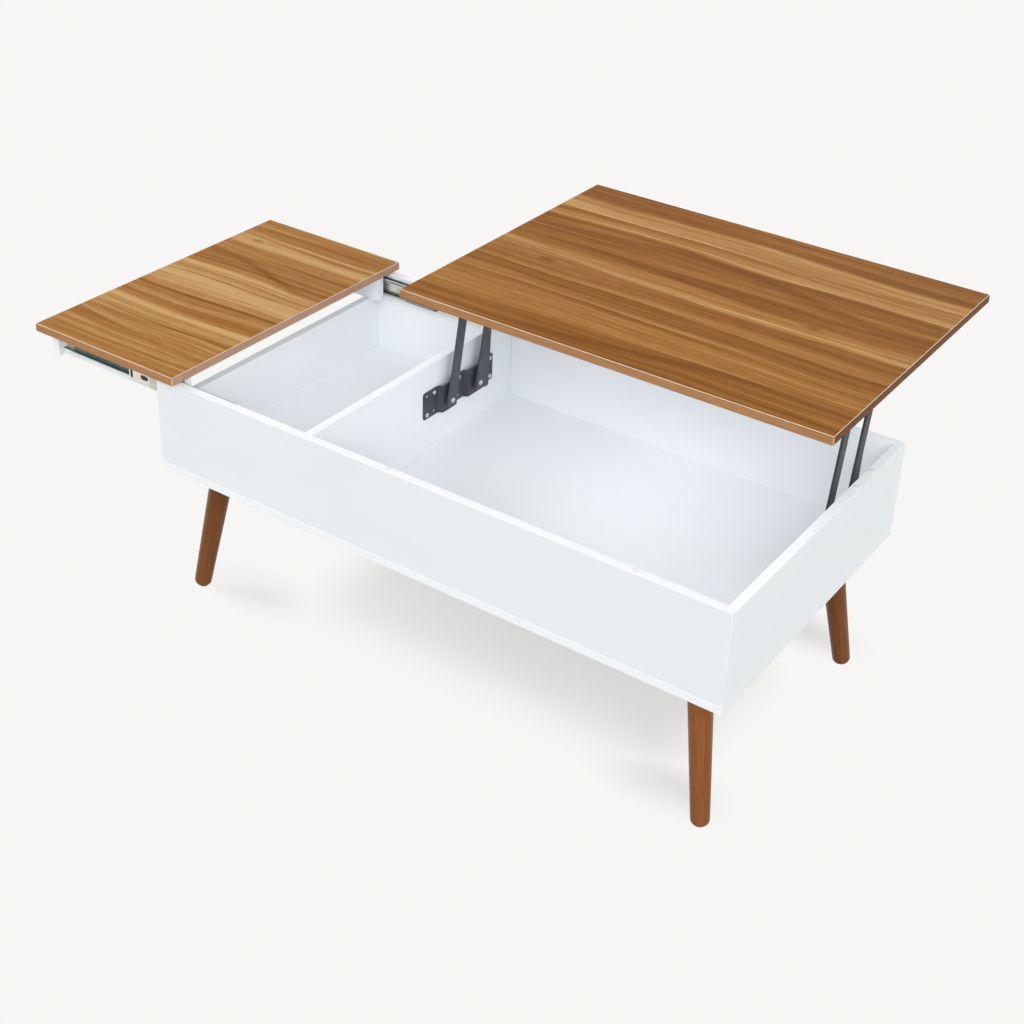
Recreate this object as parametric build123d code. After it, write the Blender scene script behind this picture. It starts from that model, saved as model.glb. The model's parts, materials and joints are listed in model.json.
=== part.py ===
from build123d import *
from math import asin, cos, degrees, hypot, radians, sin
import os

# Lift top coffee table, in millimetres, standing on the floor at Z = 0.
# X runs along the table, with the sliding top at the left end. Y runs from the front to the back.
# The origin is on the floor under the middle of the carcass. The table is drawn as it is used:
# the lid raised on its arms, and the sliding top pulled out to the left.

# Carcass boards
body_length = 1080.0
body_depth = 580.0
board = 15.0
board_edge = 0.6
bottom_edge = 1.0
panel_height = 160.0
low_end_drop = 50.0
side_bay_length = 296.0

# Legs and feet
leg_height = 250.0
leg_top_radius = 19.0
leg_foot_radius = 14.0
leg_foot_round = 7.0
leg_top_inset = 74.0
foot_inset_x = 34.0
foot_inset_y = 44.0
foot_pad_radius = 9.0
foot_pad_height = 3.0
hanger_bolt_radius = 4.0
hanger_bolt_depth = 30.0
insert_radius = 6.0
insert_length = 12.0

# Table tops
top_thickness = 15.0
top_overhang = 10.0
top_seam = 2.0
rim_gap = 2.0
band_thickness = 2.0
band_bevel = 1.6

# Lift linkage
link_length = 223.6
link_lean = 10.4
base_pivot_setback = 362.5
base_pivot_drop = 80.8
pivot_spacing = 82.0
lid_pivot_drop = 13.0
arm_sheet = 4.0
arm_half_width = 10.0
arm_heel = 11.0
front_arm_flare = 13.0
rear_arm_flare = 26.0
front_flare_height = 60.0
rear_flare_height = 105.0
arm_corner = 3.0

# Lift base plates and lid brackets
plate_sheet = 2.0
plate_bend = 3.0
plate_height = 52.0
plate_corner = 5.0
pad_rise = 8.0
pad_ramp = 6.0
front_flange_length = 40.0
front_pad_length = 49.0
middle_flange_length = 25.0
rear_pad_length = 72.0
ear_length = 17.0
front_pad_to_pivot = 22.5
plate_foot_drop = 20.5
plate_hole_margin = 8.0
plate_hole_inset = 10.0
spare_hole_radius = 3.0
stop_stud_radius = 2.5
stop_stud_height = 22.0
bracket_sheet = 2.0
bracket_bend = 3.0
bracket_foot_width = 32.0
bracket_overrun = 26.0
bracket_lip = 10.0
bracket_corner = 8.0

# Pivots
rivet_radius = 3.0
rivet_head_radius = 5.0
rivet_head_height = 2.0
spacer_radius = 6.0
spacer_length = 4.0
washer_radius = 7.0
washer_thickness = 0.8
pivot_clearance = 0.05
side_play = 0.15

# Telescopic slides
slide_length = 254.0
pull_out_length = 270.0
middle_share = 0.41
slide_setback = 20.0
slide_drop = 7.0
slide_height = 35.0
slide_width = 12.7
slide_sheet = 1.2
slide_bend = 2.0
outer_flange = 9.6
outer_lip = 0.7
middle_shorter = 14.0
ball_radius = 1.5
ball_play = 0.2
cage_sheet = 0.6
cage_gap = 0.3
outer_cage_length = 125.0
inner_cage_length = 60.0
outer_cage_balls = 6
inner_cage_balls = 4
middle_slot_length = 18.0
middle_slot_width = 9.0
end_slot_height = 17.0
end_slot_width = 6.0
clip_play = 1.0
inner_slot_length = 10.0
inner_slot_width = 5.0

# Sliding top frame
rail_drop = 48.5
rail_end_gap = 3.0
fascia_side_gap = 1.0

# Fasteners
wood_screw_radius = 2.0
wood_screw_head_radius = 4.0
wood_screw_head_height = 2.6
carcass_screw_length = 45.0
plate_screw_radius = 2.2
plate_screw_head_radius = 4.2
plate_screw_head_height = 2.4
plate_screw_length = 14.0
slide_screw_radius = 1.7
slide_screw_head_radius = 3.0
slide_screw_length = 12.0
rail_screw_length = 60.0
dowel_radius = 4.0
dowel_in_face = 9.0
dowel_in_edge = 20.0
dowel_margin = 30.0
fastener_play = 0.05
head_bevel = 0.5
screw_edge = 60.0

# Bumpers on the rim, under the lid
bumper_radius = 4.0
bumper_clearance = 0.3
long_bumper_x = (483.0, 920.0)
right_bumper_y = (404.0, 464.0)

# Levels and faces worked out from the sizes above
x_left = -body_length / 2
x_right = body_length / 2
y_front = -body_depth / 2
y_back = body_depth / 2
y_inner = y_back - board
z_under = leg_height
z_inside = z_under + board
z_rim = z_inside + panel_height
z_top = z_rim + rim_gap
x_divider = x_left + board + side_bay_length
x_wall_left = x_divider + board
x_wall_right = x_right - board
x_lid_bay = (x_wall_left + x_wall_right) / 2
x_seam = x_divider + board / 2

# Swing of the arms from raised to shut, and the lid's travel with it
shut_rise = base_pivot_drop + rim_gap - lid_pivot_drop
link_shut = degrees(asin(shut_rise / link_length))
link_swing = 90.0 + link_lean - link_shut
lid_lift = link_length * cos(radians(link_lean)) - shut_rise
lid_shift = link_length * (cos(radians(link_shut)) + sin(radians(link_lean)))

pieces = {}


def block(x, y, z):
    """A board between two values on each axis."""
    size = [high - low for low, high in (x, y, z)]
    middle = [(low + high) / 2 for low, high in (x, y, z)]
    return Pos(*middle) * Box(*size)


def rod(start, direction, radius, length):
    """A round bar from a point along a direction."""
    bar = Cylinder(radius, length, align=(Align.CENTER, Align.CENTER, Align.MIN))
    return Plane(origin=start, z_dir=direction) * bar


def countersunk(start, direction, radius, head_radius, head_height, length, play=0.0):
    """A flat headed screw driven from a surface, or with play the hole that it needs."""
    head = Cone(
        head_radius + play,
        radius + play,
        head_height,
        align=(Align.CENTER, Align.CENTER, Align.MIN),
    )
    return Plane(origin=start, z_dir=direction) * head + rod(start, direction, radius + play, length + play)


def pan_screw(start, direction, radius, head_radius, head_height, length):
    """A round headed screw whose head sits on the surface it is driven into."""
    head = Cylinder(head_radius, head_height, align=(Align.CENTER, Align.CENTER, Align.MAX))
    head = chamfer(head.edges().group_by(Axis.Z)[0], head_height * head_bevel)
    return Plane(origin=start, z_dir=direction) * head + rod(start, direction, radius, length)


def eased(blank):
    """A board with its top edges and its upright corners taken off by a small bevel."""
    top_edges = blank.edges().group_by(Axis.Z)[-1]
    return chamfer(top_edges + blank.edges().filter_by(Axis.Z), board_edge)


def mirrored_y(solid):
    """The same piece on the other long side of the table."""
    return mirror(solid, about=Plane.XZ)


def across_bay(solid):
    """The same piece at the other end of the lid's bay."""
    return mirror(solid, about=Plane.YZ.offset(x_lid_bay))


def join(solids):
    """Several separate solids that share one node."""
    return Compound(children=[part for solid in solids for part in solid.solids()])


def cut_all(solid, tools):
    """A solid less each tool in turn."""
    for tool in tools:
        solid = solid - tool
    return solid


# Carcass: a bottom board under four walls and a divider. The left end is lower, so that the
# sliding top's frame passes over it. The bottom board's bevel shows as a fine line round the box.
bottom_panel = block((x_left, x_right), (y_front, y_back), (z_under, z_inside))
bottom_panel = chamfer(bottom_panel.edges(), bottom_edge)
front_panel = eased(block((x_left, x_right), (y_front, -y_inner), (z_inside, z_rim)))
right_end_panel = eased(block((x_wall_right, x_right), (-y_inner, y_inner), (z_inside, z_rim)))
divider_panel = eased(block((x_divider, x_wall_left), (-y_inner, y_inner), (z_inside, z_rim)))
left_end_z = (z_inside, z_rim - low_end_drop)
left_end_panel = eased(block((x_left, x_left + board), (-y_inner, y_inner), left_end_z))

# Wooden dowels at the ends of the cross panels
cross_panels = {
    x_left + board / 2: panel_height - low_end_drop,
    x_divider + board / 2: panel_height,
    x_right - board / 2: panel_height,
}
dowel_starts = [
    (x, -y_inner - dowel_in_face, z_inside + z)
    for x, height in cross_panels.items()
    for z in (dowel_margin, height - dowel_margin)
]
dowel_length = dowel_in_face + dowel_in_edge
front_dowels = [rod(p, (0, 1, 0), dowel_radius, dowel_length) for p in dowel_starts]
dowel_holes = [
    rod(p, (0, 1, 0), dowel_radius + fastener_play, dowel_length + fastener_play) for p in dowel_starts
]
dowel_holes += [mirrored_y(hole) for hole in dowel_holes]
pieces["carcass_dowels"] = join(front_dowels + [mirrored_y(dowel) for dowel in front_dowels])

# Screws driven up through the bottom board into the walls
long_screw_x = [x_left + screw_edge, x_left / 2, 0.0, x_right / 2, x_right - screw_edge]
cross_screw_y = (y_front / 2, y_back / 2)
screw_spots = [(x, y, z_under) for x in long_screw_x for y in (y_front + board / 2, y_back - board / 2)]
screw_spots += [(x, y, z_under) for x in cross_panels for y in cross_screw_y]
carcass_screw = (wood_screw_radius, wood_screw_head_radius, wood_screw_head_height, carcass_screw_length)
carcass_screws = [countersunk(p, (0, 0, 1), *carcass_screw) for p in screw_spots]
carcass_holes = [countersunk(p, (0, 0, 1), *carcass_screw, play=fastener_play) for p in screw_spots]
pieces["carcass_screws"] = join(carcass_screws)

# Legs: turned and tapered, splayed outwards, cut level under the bottom board, with a soft pad
# under the rounded foot. Each is held by a hanger bolt in a threaded insert.
leg_top = Vector(x_right - leg_top_inset, y_front + leg_top_inset, z_under)
leg_foot = Vector(x_right - foot_inset_x, y_front + foot_inset_y, 0)
leg_axis = leg_top - leg_foot
leg_spare = leg_top_radius
leg_taper = (leg_top_radius - leg_foot_radius) / leg_axis.length
leg_blank = Cone(
    leg_foot_radius,
    leg_top_radius + leg_taper * leg_spare,
    leg_axis.length + leg_spare,
    align=(Align.CENTER, Align.CENTER, Align.MIN),
)
leg_blank = fillet(leg_blank.edges().group_by(Axis.Z)[0], leg_foot_round)
leg_reach = 2 * leg_top_radius + leg_top_inset
leg_slab = block(
    (leg_foot.X - leg_reach, leg_foot.X + leg_reach),
    (leg_foot.Y - leg_reach, leg_foot.Y + leg_reach),
    (foot_pad_height, z_under),
)
bolt_start = leg_top - Vector(0, 0, hanger_bolt_depth)
bolt_length = hanger_bolt_depth + insert_length
hanger_bolt = rod(bolt_start, (0, 0, 1), hanger_bolt_radius, bolt_length)
bolt_hole = rod(bolt_start, (0, 0, 1), hanger_bolt_radius + fastener_play, bolt_length)
insert_hole = rod(leg_top, (0, 0, 1), insert_radius + fastener_play, insert_length)
insert = rod(leg_top, (0, 0, 1), insert_radius, insert_length) - bolt_hole
leg = Plane(origin=leg_foot, z_dir=leg_axis) * leg_blank & leg_slab
leg = leg - bolt_hole
foot_pad = Cylinder(foot_pad_radius, foot_pad_height, align=(Align.CENTER, Align.CENTER, Align.MIN))
foot_pad = chamfer(foot_pad.edges().group_by(Axis.Z)[0], foot_pad_height / 4)
foot_pad = Pos(leg_foot.X, leg_foot.Y, 0) * foot_pad


def four_corners(solid):
    """Copies of the front right piece at all four corners, by corner name."""
    left = mirror(solid, about=Plane.YZ)
    return {
        "front_right": solid,
        "front_left": left,
        "back_right": mirrored_y(solid),
        "back_left": mirrored_y(left),
    }


for corner, one_leg in four_corners(leg).items():
    pieces["leg_" + corner] = one_leg
pieces["foot_pads"] = join(four_corners(foot_pad).values())
pieces["leg_hanger_bolts"] = join(four_corners(hanger_bolt).values())
pieces["leg_threaded_inserts"] = join(four_corners(insert).values())
insert_holes = list(four_corners(insert_hole).values())

# Telescopic slides: three nested channels of bent strip on balls, one slide on each long wall.
# Sections are drawn from the wall, with u across the slide and v up it.
slide_z = z_rim - slide_drop - slide_height / 2
slide_x = x_left + slide_setback
middle_travel = pull_out_length * middle_share
race = 2 * (ball_radius + ball_play)
outer_half = slide_height / 2
middle_half = outer_half - slide_sheet - race
inner_half = middle_half - slide_sheet - race
outer_cage_u = slide_sheet + cage_gap
middle_u = outer_cage_u + cage_sheet + cage_gap
inner_cage_u = middle_u + slide_sheet + cage_gap
inner_u = inner_cage_u + cage_sheet + 2 * cage_gap
ball_u = (inner_u + outer_flange) / 2
middle_flange = outer_flange + slide_sheet
slide_screw_x = [slide_x + slide_length * share for share in (0.09, 0.55, 0.92)]


def slide_plane(x):
    """The front slide's section plane at a place along the table."""
    return Plane(origin=(x, -y_inner, slide_z), x_dir=(0, 1, 0), z_dir=(1, 0, 0))


def channel(web_u, open_u, half_height, sheet):
    """A C section of bent strip with its web at one u and its flanges running to another."""
    inward = 1 if open_u > web_u else -1
    body = Pos((web_u + open_u) / 2, 0) * Rectangle(abs(open_u - web_u), 2 * half_height)
    floor_u = web_u + inward * sheet
    hollow = Pos((floor_u + open_u) / 2, 0) * Rectangle(abs(open_u - floor_u), 2 * (half_height - sheet))
    web_side = 0 if inward > 0 else -1
    body = fillet(body.vertices().group_by(Axis.X)[web_side], slide_bend)
    hollow = fillet(hollow.vertices().group_by(Axis.X)[web_side], slide_bend - sheet)
    return body - hollow


def ball_row(x_start, length, count, v):
    """The balls of one cage, in a row above and a row below."""
    pitch = length / count
    return [
        Pos(x_start + pitch * (number + 0.5), -y_inner + ball_u, slide_z + side * v) * Sphere(ball_radius)
        for number in range(count)
        for side in (-1, 1)
    ]


def ball_cage(x_start, length, count, web_u, v):
    """A bent retainer with a row of holes in each leg for its balls."""
    cage = channel(web_u, ball_u + 2 * ball_radius, v + cage_sheet / 2, cage_sheet)
    cage = extrude(slide_plane(x_start) * cage, amount=length)
    pitch = length / count
    spots = [x_start + pitch * (number + 0.5) for number in range(count)]
    holes = [
        rod((x, -y_inner + ball_u, slide_z - 2 * v), (0, 0, 1), ball_radius + ball_play, 4 * v) for x in spots
    ]
    return cut_all(cage, holes)


outer_section = channel(0, outer_flange, outer_half, slide_sheet)
for side in (-1, 1):
    lip_v = side * (outer_half - slide_sheet - outer_lip / 2)
    outer_section += Pos(outer_flange - slide_sheet / 2, lip_v) * Rectangle(slide_sheet, outer_lip)
slide_screw_head = (slide_screw_radius, slide_screw_head_radius, slide_sheet)
wall_screw_spots = [(x, -y_inner + slide_sheet, slide_z) for x in slide_screw_x]
wall_screws = [countersunk(p, (0, -1, 0), *slide_screw_head, slide_screw_length) for p in wall_screw_spots]
wall_screw_holes = [
    countersunk(p, (0, -1, 0), *slide_screw_head, slide_screw_length, play=fastener_play)
    for p in wall_screw_spots
]
slide_outer = cut_all(extrude(slide_plane(slide_x) * outer_section, amount=slide_length), wall_screw_holes)

middle_length = slide_length - middle_shorter
middle_x = slide_x + middle_shorter / 2 - middle_travel
middle_section = channel(middle_u, middle_flange, middle_half, slide_sheet)
slide_middle = extrude(slide_plane(middle_x) * middle_section, amount=middle_length)


def web_slots(web_u, places, length, height, depth, both=False):
    """Slots, or what fills them, in a slide member's web at several places along the table."""
    plane = Plane(origin=(0, -y_inner + web_u, slide_z), x_dir=(1, 0, 0), z_dir=(0, -1, 0))
    outline = SlotOverall(length, height) if length > height else SlotOverall(height, length, rotation=90)
    return [extrude(plane * Pos(x, 0) * outline, amount=depth, both=both) for x in places]


# Slots in the middle member's web. Black clips fill the upright one and the two end ones.
end_slot_places = [middle_x + end_slot_width]
clip_slot_places = [middle_x + middle_length * share for share in (0.15, 0.95)]
open_slot_places = [middle_x + middle_length * share for share in (0.4, 0.65)]
long_slot_places = clip_slot_places + open_slot_places
slots = web_slots(middle_u, end_slot_places, end_slot_width, end_slot_height, slide_sheet, both=True)
slots += web_slots(middle_u, long_slot_places, middle_slot_length, middle_slot_width, slide_sheet, both=True)
slide_middle = cut_all(slide_middle, slots)
clip_height = middle_slot_width - 2 * fastener_play
end_clip_size = (end_slot_width - 2 * fastener_play, end_slot_height - 2 * fastener_play)
clips = web_slots(middle_u, end_slot_places, *end_clip_size, -slide_sheet)
clips += web_slots(middle_u, clip_slot_places, middle_slot_length - clip_play, clip_height, -slide_sheet)

inner_x = slide_x - pull_out_length
inner_section = channel(slide_width, inner_u, inner_half, slide_sheet)
slide_inner = extrude(slide_plane(inner_x) * inner_section, amount=slide_length)
rail_face_u = slide_width - slide_sheet
inner_screw_spots = [(x - pull_out_length, -y_inner + rail_face_u, slide_z) for x in slide_screw_x]
inner_screw = (slide_screw_radius, slide_screw_head_radius, slide_screw_radius, slide_screw_length)
inner_screws = [pan_screw(p, (0, 1, 0), *inner_screw) for p in inner_screw_spots]
inner_screw_holes = [
    rod(p, (0, 1, 0), slide_screw_radius + fastener_play, slide_screw_length + fastener_play)
    for p in inner_screw_spots
]
inner_slot_places = [inner_x + slide_length * share for share in (0.04, 0.3, 0.75)]
inner_slots = web_slots(
    rail_face_u, inner_slot_places, inner_slot_length, inner_slot_width, 2 * slide_sheet, both=True
)
slide_inner = cut_all(slide_inner, inner_screw_holes + inner_slots)

outer_ball_v = outer_half - slide_sheet - race / 2
inner_ball_v = middle_half - slide_sheet - race / 2
outer_cage_x = slide_x + cage_gap - middle_travel / 2
inner_cage_x = middle_x + middle_shorter / 2
outer_cage = ball_cage(outer_cage_x, outer_cage_length, outer_cage_balls, outer_cage_u, outer_ball_v)
inner_cage = ball_cage(inner_cage_x, inner_cage_length, inner_cage_balls, inner_cage_u, inner_ball_v)
outer_balls = ball_row(outer_cage_x, outer_cage_length, outer_cage_balls, outer_ball_v)
inner_balls = ball_row(inner_cage_x, inner_cage_length, inner_cage_balls, inner_ball_v)

slide_members = {"outer": slide_outer, "middle": slide_middle, "inner": slide_inner}
for member, front_member in slide_members.items():
    pieces["front_slide_" + member] = front_member
    pieces["back_slide_" + member] = mirrored_y(front_member)
slide_groups = {
    "slide_wall_screws": wall_screws,
    "slide_rail_screws": inner_screws,
    "slide_middle_clips": clips,
    "outer_ball_cages": [outer_cage],
    "inner_ball_cages": [inner_cage],
    "outer_slide_balls": outer_balls,
    "inner_slide_balls": inner_balls,
}
for group, front_group in slide_groups.items():
    pieces[group] = join(front_group + [mirrored_y(solid) for solid in front_group])

# Carcass boards with every hole that the fasteners need
front_panel = cut_all(front_panel, dowel_holes + carcass_holes + wall_screw_holes)
pieces["front_panel"] = front_panel
pieces["back_panel"] = mirrored_y(front_panel)
pieces["bottom_panel"] = cut_all(bottom_panel, carcass_holes + insert_holes)


def laminated_top(x, y, z):
    """A table top: the board, and a bevelled band on its four edges as separate strips."""
    core_x = (x[0] + band_thickness, x[1] - band_thickness)
    core_y = (y[0] + band_thickness, y[1] - band_thickness)
    core = block(core_x, core_y, z)
    ring = block(x, y, z)
    ring = chamfer(ring.edges(), band_bevel) - core
    strips = [
        ring & block(x, (y[0], core_y[0]), z),
        ring & block(x, (core_y[1], y[1]), z),
        ring & block((x[0], core_x[0]), core_y, z),
        ring & block((core_x[1], x[1]), core_y, z),
    ]
    return core, join(strips)


# Sliding top: the board on a white frame of two rails and an end fascia. The fascia closes the
# opening over the low end panel when the top is shut.
shut_left = x_left - top_overhang
sliding_x = (shut_left - pull_out_length, x_seam - top_seam / 2 - pull_out_length)
top_y = (y_front - top_overhang, y_back + top_overhang)
sliding_board, sliding_band = laminated_top(sliding_x, top_y, (z_top, z_top + top_thickness))
fascia_x = (x_left - pull_out_length, x_left + board - pull_out_length)
fascia_y = y_inner - fascia_side_gap
rail_z = (z_rim - rail_drop, z_top)
fascia = block(fascia_x, (-fascia_y, fascia_y), rail_z)
fascia = chamfer(fascia.edges(), board_edge)
rail_y = (-y_inner + slide_width, -y_inner + slide_width + board)
rail_x = (fascia_x[1], x_divider - rail_end_gap - pull_out_length)
front_rail = block(rail_x, rail_y, rail_z)
front_rail = chamfer(front_rail.edges(), board_edge)
rail_length = rail_x[1] - rail_x[0]
rail_middle_y = (rail_y[0] + rail_y[1]) / 2
rail_screw = (wood_screw_radius, wood_screw_head_radius, wood_screw_head_height, rail_screw_length)
rail_screw_spots = [
    (rail_x[0] + rail_length * share, side * rail_middle_y, rail_z[0])
    for share in (0.3, 0.7)
    for side in (-1, 1)
]
fascia_middle_x = (fascia_x[0] + fascia_x[1]) / 2
rail_screw_spots += [(fascia_middle_x, y, rail_z[0]) for y in cross_screw_y]
rail_screws = [countersunk(p, (0, 0, 1), *rail_screw) for p in rail_screw_spots]
rail_screw_holes = [countersunk(p, (0, 0, 1), *rail_screw, play=fastener_play) for p in rail_screw_spots]
front_rail = cut_all(front_rail, rail_screw_holes + inner_screw_holes)
pieces["rail_screws"] = join(rail_screws)
pieces["front_rail"] = front_rail
pieces["back_rail"] = mirrored_y(front_rail)
pieces["sliding_top_fascia"] = cut_all(fascia, rail_screw_holes)
pieces["sliding_top_board"] = cut_all(sliding_board, rail_screw_holes)
pieces["sliding_top_edge_band"] = sliding_band

# Lift mechanism at the divider. Depths are counted from the divider's face into the lid's bay.
# The right one is its mirror image on the right end panel.
pivot_y = {"front": y_front + base_pivot_setback, "rear": y_front + base_pivot_setback + pivot_spacing}
pivot_z = z_rim - base_pivot_drop
pad_face = pad_rise + plate_sheet
arm_depth = pad_face + spacer_length + side_play
washer_depth = arm_depth + arm_sheet + side_play
bracket_depth = washer_depth + washer_thickness
lean_sin = sin(radians(link_lean))
lean_cos = cos(radians(link_lean))


def wall_point(depth, y, z):
    """A point at a depth into the lid's bay from the divider's face."""
    return (x_wall_left + depth, y, z)


def arm_plane(depth, which):
    """The leaning plane of an arm at its lower pivot, with its own length up the plane."""
    origin = wall_point(depth, pivot_y[which], pivot_z)
    return Plane(origin=origin, x_dir=(0, lean_cos, -lean_sin), z_dir=(1, 0, 0))


def lift_arm(which, front_flare, rear_flare, flare_height):
    """A flat steel arm, wide at its foot, with a round head and a hole at each pivot."""
    outline = Polyline(
        (-front_flare, -arm_heel),
        (rear_flare, -arm_heel),
        (arm_half_width, flare_height),
        (arm_half_width, link_length),
        (-arm_half_width, link_length),
        (-arm_half_width, front_flare_height),
        close=True,
    )
    strap = make_face(outline)
    strap = fillet(strap.vertices().group_by(Axis.Y)[0], arm_corner)
    strap += Pos(0, link_length) * Circle(arm_half_width)
    for height in (0, link_length):
        strap -= Pos(0, height) * Circle(rivet_radius + pivot_clearance)
    return extrude(arm_plane(arm_depth, which) * strap, amount=arm_sheet)


front_arm = lift_arm("front", front_arm_flare, front_arm_flare, front_flare_height)
rear_arm = lift_arm("rear", front_arm_flare, rear_arm_flare, rear_flare_height)

# Base plate: one pressing with flat flanges on the wall and two raised pads that carry the arms
plate_steps = [
    (front_flange_length, 0),
    (pad_ramp, pad_rise),
    (front_pad_length - 2 * pad_ramp, pad_rise),
    (pad_ramp, 0),
    (middle_flange_length, 0),
    (pad_ramp, pad_rise),
    (rear_pad_length - 2 * pad_ramp, pad_rise),
    (pad_ramp, 0),
    (ear_length, 0),
]
plate_front = pivot_y["front"] - front_pad_to_pivot - front_flange_length
plate_line = [(x_wall_left + plate_sheet / 2, plate_front)]
for step, rise in plate_steps:
    plate_line.append((x_wall_left + plate_sheet / 2 + rise, plate_line[-1][1] + step))
plate_back = plate_line[-1][1]
plate_foot = pivot_z - plate_foot_drop
plate_head = plate_foot + plate_height
plate_section = trace(FilletPolyline(*plate_line, radius=plate_bend), plate_sheet)
base_plate = extrude(Pos(0, 0, plate_foot) * plate_section, amount=plate_height)
flange_corners = base_plate.edges().filter_by(Axis.X).group_by(Axis.Y)
base_plate = fillet(flange_corners[0] + flange_corners[-1], plate_corner)
mid_flange_y = plate_front + front_flange_length + front_pad_length + middle_flange_length / 2
ear_y = plate_back - ear_length / 2
low_z = plate_foot + plate_hole_margin
high_z = plate_head - plate_hole_margin
near_y = plate_front + plate_hole_inset
far_y = plate_front + front_flange_length - plate_hole_inset
plate_screw_spots = [(near_y, low_z), (far_y, high_z), (mid_flange_y, high_z)]
plate_screw_spots += [(ear_y, low_z), (ear_y, high_z)]
spare_hole_spots = [(near_y, high_z), (far_y, low_z), (mid_flange_y, low_z)]
plate_screw_starts = [wall_point(plate_sheet, y, z) for y, z in plate_screw_spots]
plate_screw = (plate_screw_radius, plate_screw_head_radius, plate_screw_head_height, plate_screw_length)
plate_screws = [pan_screw(p, (-1, 0, 0), *plate_screw) for p in plate_screw_starts]
plate_screw_holes = [
    rod(p, (-1, 0, 0), plate_screw_radius + fastener_play, plate_screw_length + fastener_play)
    for p in plate_screw_starts
]
spare_holes = [
    rod(wall_point(plate_sheet, y, z), (-1, 0, 0), spare_hole_radius, plate_sheet)
    for y, z in spare_hole_spots
]

# Stop stud pressed out of the rear pad: the raised rear arm's back edge leans on it
flare_share = (stop_stud_height + arm_heel) / (rear_flare_height + arm_heel)
flare_run = rear_arm_flare - arm_half_width
flare_edge = hypot(flare_run, rear_flare_height + arm_heel)
stud_across = rear_arm_flare - flare_run * flare_share
stud_reach = (stop_stud_radius + side_play) * flare_edge / (rear_flare_height + arm_heel)
stud = Pos(stud_across + stud_reach, stop_stud_height) * Circle(stop_stud_radius)
stud = extrude(arm_plane(pad_face, "rear") * stud, amount=arm_depth + arm_sheet - pad_face)
base_plate = base_plate + stud

# Lower pivots: a rivet from the back of each pad through a spacer and the arm
lower_rivets = []
lower_spacers = []
rivet_holes = []
for which in ("front", "rear"):
    y = pivot_y[which]
    tail = rod(wall_point(pad_rise, y, pivot_z), (-1, 0, 0), rivet_head_radius, rivet_head_height)
    shank_length = arm_depth + arm_sheet + side_play - pad_rise
    shank = rod(wall_point(pad_rise, y, pivot_z), (1, 0, 0), rivet_radius, shank_length)
    head_start = wall_point(arm_depth + arm_sheet + side_play, y, pivot_z)
    head = rod(head_start, (1, 0, 0), rivet_head_radius, rivet_head_height)
    head = chamfer(head.edges().group_by(Axis.X)[-1], rivet_head_height * head_bevel)
    lower_rivets.append(tail + shank + head)
    bore = rod(wall_point(pad_rise, y, pivot_z), (1, 0, 0), rivet_radius + fastener_play, shank_length)
    rivet_holes.append(bore)
    spacer = rod(wall_point(pad_face, y, pivot_z), (1, 0, 0), spacer_radius, spacer_length)
    lower_spacers.append(spacer - bore)
base_plate = cut_all(base_plate, rivet_holes + plate_screw_holes + spare_holes)

# Lid bracket: an angle screwed up into the lid, whose hanging leg carries both upper pivots
lid_z = z_top + lid_lift
lid_pivot_z = lid_z - lid_pivot_drop
lid_pivot_y = {which: y + link_length * lean_sin for which, y in pivot_y.items()}
leg_x = x_wall_left + bracket_depth + bracket_sheet / 2
bracket_line = FilletPolyline(
    (leg_x, lid_pivot_z - bracket_lip),
    (leg_x, lid_z - bracket_sheet / 2),
    (leg_x + bracket_foot_width, lid_z - bracket_sheet / 2),
    radius=bracket_bend,
)
bracket_start = lid_pivot_y["front"] - bracket_overrun
bracket_length = pivot_spacing + 2 * bracket_overrun
section_plane = Plane(origin=(0, bracket_start, 0), x_dir=(1, 0, 0), z_dir=(0, -1, 0))
bracket = extrude(section_plane * trace(bracket_line, bracket_sheet), amount=-bracket_length)
hanging_corners = bracket.edges().filter_by(Axis.X).group_by(Axis.Z)[0]
foot_corners = bracket.edges().filter_by(Axis.Z).group_by(Axis.X)[-1]
bracket = fillet(hanging_corners + foot_corners, bracket_corner)
foot_x = leg_x + bracket_foot_width * 0.6
bracket_screw_spots = [
    (foot_x, bracket_start + bracket_length * share, lid_z - bracket_sheet) for share in (0.1, 0.37, 0.63, 0.9)
]
bracket_screws = [pan_screw(p, (0, 0, 1), *plate_screw) for p in bracket_screw_spots]
bracket_screw_holes = [
    rod(p, (0, 0, 1), plate_screw_radius + fastener_play, plate_screw_length + fastener_play)
    for p in bracket_screw_spots
]
upper_rivets = []
upper_washers = []
upper_holes = []
for which in ("front", "rear"):
    y = lid_pivot_y[which]
    inner_start = wall_point(bracket_depth + bracket_sheet, y, lid_pivot_z)
    tail = rod(inner_start, (1, 0, 0), rivet_head_radius, rivet_head_height)
    head_start = wall_point(arm_depth - side_play, y, lid_pivot_z)
    head = rod(head_start, (-1, 0, 0), rivet_head_radius, rivet_head_height)
    head = chamfer(head.edges().group_by(Axis.X)[0], rivet_head_height * head_bevel)
    shank_length = bracket_depth + bracket_sheet - arm_depth + side_play
    shank = rod(head_start, (1, 0, 0), rivet_radius, shank_length)
    upper_rivets.append(tail + shank + head)
    bore = rod(head_start, (1, 0, 0), rivet_radius + fastener_play, shank_length)
    upper_holes.append(bore)
    washer = rod(wall_point(washer_depth, y, lid_pivot_z), (1, 0, 0), washer_radius, washer_thickness)
    upper_washers.append(washer - bore)
bracket = cut_all(bracket, upper_holes + bracket_screw_holes)

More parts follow.
